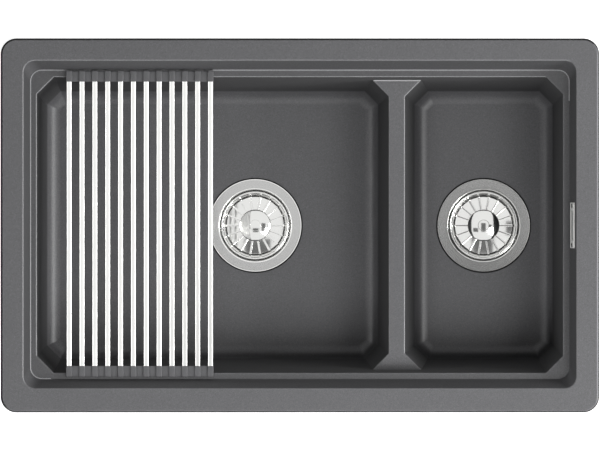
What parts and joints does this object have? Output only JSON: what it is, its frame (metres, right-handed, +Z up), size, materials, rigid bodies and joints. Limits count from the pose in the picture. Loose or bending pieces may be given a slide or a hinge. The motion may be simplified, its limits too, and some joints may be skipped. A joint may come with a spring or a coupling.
{
  "type": "double bowl kitchen sink",
  "caption": "Inset double bowl kitchen sink of dark stone composite with a low divider, basket strainers, an overflow, joined waste pipes and a roll-up drying rack.",
  "frame": {"origin": "centre of the worktop cut-out in the plane of the worktop, under the rim", "axes": "+X to the right along the sink's length, +Y to the back, +Z up out of the worktop"},
  "size_m": [0.72, 0.45, 0.3895],
  "materials": {
    "composite": "matte",
    "rack_steel": "satin",
    "silicone": "matte",
    "polished_steel": "polished",
    "cover_steel": "satin",
    "screw_steel": "satin",
    "nut_brass": "satin",
    "brass_insert": "satin",
    "seal_rubber": "matte",
    "black_plastic": "matte",
    "white_plastic": "satin"
  },
  "bodies": {
    "sink": {"sink_body": "composite", "clip_inserts": "brass_insert", "left_strainer_cup": "polished_steel", "left_flange_seal": "seal_rubber", "left_body_seal": "seal_rubber", "left_waste_body": "black_plastic", "left_clamp_screw": "screw_steel", "right_strainer_cup": "polished_steel", "right_flange_seal": "seal_rubber", "right_body_seal": "seal_rubber", "right_waste_body": "black_plastic", "right_clamp_screw": "screw_steel", "waste_elbow": "white_plastic", "outlet_tee": "white_plastic", "link_pipe": "white_plastic", "outlet_nuts": "white_plastic", "link_nuts": "white_plastic", "outlet_washers": "seal_rubber", "link_washers": "seal_rubber", "overflow_cover": "cover_steel", "overflow_screws": "screw_steel", "overflow_seal": "seal_rubber", "overflow_head": "black_plastic", "overflow_pipe": "white_plastic", "overflow_nuts": "white_plastic"},
    "rack_01": {"rack_rod_01": "rack_steel", "rack_sleeves_01": "silicone"},
    "rack_02": {"rack_rod_02": "rack_steel", "rack_sleeves_02": "silicone"},
    "rack_03": {"rack_rod_03": "rack_steel", "rack_sleeves_03": "silicone"},
    "rack_04": {"rack_rod_04": "rack_steel", "rack_sleeves_04": "silicone"},
    "rack_05": {"rack_rod_05": "rack_steel", "rack_sleeves_05": "silicone"},
    "rack_06": {"rack_rod_06": "rack_steel", "rack_sleeves_06": "silicone"},
    "rack_07": {"rack_rod_07": "rack_steel", "rack_sleeves_07": "silicone"},
    "rack_08": {"rack_rod_08": "rack_steel", "rack_sleeves_08": "silicone"},
    "rack_09": {"rack_rod_09": "rack_steel", "rack_sleeves_09": "silicone"},
    "rack_10": {"rack_rod_10": "rack_steel", "rack_sleeves_10": "silicone"},
    "rack_11": {"rack_rod_11": "rack_steel", "rack_sleeves_11": "silicone"},
    "rack_12": {"rack_rod_12": "rack_steel", "rack_sleeves_12": "silicone"},
    "left_strainer": {"left_basket": "polished_steel", "left_knob": "polished_steel", "left_stem": "screw_steel", "left_stopper": "seal_rubber", "left_stem_nut": "nut_brass"},
    "right_strainer": {"right_basket": "polished_steel", "right_knob": "polished_steel", "right_stem": "screw_steel", "right_stopper": "seal_rubber", "right_stem_nut": "nut_brass"}
  },
  "joints": [
    {"name": "rack_slide", "type": "slide", "parent": "sink", "child": "rack_06", "axis": [1, 0, 0], "range_m": [-0.032, 0.412]},
    {"name": "rack_roll_07", "type": "hinge", "parent": "rack_06", "child": "rack_07", "pos_m": [-0.18895, 0, -0.0165], "axis": [0, -1, 0], "range_deg": [0, 30]},
    {"name": "rack_roll_08", "type": "hinge", "parent": "rack_07", "child": "rack_08", "pos_m": [-0.17347, 0, -0.0165], "axis": [0, -1, 0], "range_deg": [0, 30]},
    {"name": "rack_roll_09", "type": "hinge", "parent": "rack_08", "child": "rack_09", "pos_m": [-0.158, 0, -0.0165], "axis": [0, -1, 0], "range_deg": [0, 30]},
    {"name": "rack_roll_10", "type": "hinge", "parent": "rack_09", "child": "rack_10", "pos_m": [-0.14253, 0, -0.0165], "axis": [0, -1, 0], "range_deg": [0, 30]},
    {"name": "rack_roll_11", "type": "hinge", "parent": "rack_10", "child": "rack_11", "pos_m": [-0.12705, 0, -0.0165], "axis": [0, -1, 0], "range_deg": [0, 30]},
    {"name": "rack_roll_12", "type": "hinge", "parent": "rack_11", "child": "rack_12", "pos_m": [-0.11157, 0, -0.0165], "axis": [0, -1, 0], "range_deg": [0, 30]},
    {"name": "rack_roll_05", "type": "hinge", "parent": "rack_06", "child": "rack_05", "pos_m": [-0.20442, 0, -0.0165], "axis": [0, 1, 0], "range_deg": [0, 30]},
    {"name": "rack_roll_04", "type": "hinge", "parent": "rack_05", "child": "rack_04", "pos_m": [-0.2199, 0, -0.0165], "axis": [0, 1, 0], "range_deg": [0, 30]},
    {"name": "rack_roll_03", "type": "hinge", "parent": "rack_04", "child": "rack_03", "pos_m": [-0.23538, 0, -0.0165], "axis": [0, 1, 0], "range_deg": [0, 30]},
    {"name": "rack_roll_02", "type": "hinge", "parent": "rack_03", "child": "rack_02", "pos_m": [-0.25085, 0, -0.0165], "axis": [0, 1, 0], "range_deg": [0, 30]},
    {"name": "rack_roll_01", "type": "hinge", "parent": "rack_02", "child": "rack_01", "pos_m": [-0.26632, 0, -0.0165], "axis": [0, 1, 0], "range_deg": [0, 30]},
    {"name": "left_basket_lift", "type": "slide", "parent": "sink", "child": "left_strainer", "axis": [0, 0, 1], "range_m": [0, 0.3]},
    {"name": "right_basket_lift", "type": "slide", "parent": "sink", "child": "right_strainer", "axis": [0, 0, 1], "range_m": [0, 0.3]}
  ],
  "couplings": [
    {"joint": "rack_roll_08", "follows": "rack_roll_07", "ratio": 1},
    {"joint": "rack_roll_09", "follows": "rack_roll_07", "ratio": 1},
    {"joint": "rack_roll_10", "follows": "rack_roll_07", "ratio": 1},
    {"joint": "rack_roll_11", "follows": "rack_roll_07", "ratio": 1},
    {"joint": "rack_roll_12", "follows": "rack_roll_07", "ratio": 1},
    {"joint": "rack_roll_05", "follows": "rack_roll_07", "ratio": 1},
    {"joint": "rack_roll_04", "follows": "rack_roll_07", "ratio": 1},
    {"joint": "rack_roll_03", "follows": "rack_roll_07", "ratio": 1},
    {"joint": "rack_roll_02", "follows": "rack_roll_07", "ratio": 1},
    {"joint": "rack_roll_01", "follows": "rack_roll_07", "ratio": 1}
  ]
}
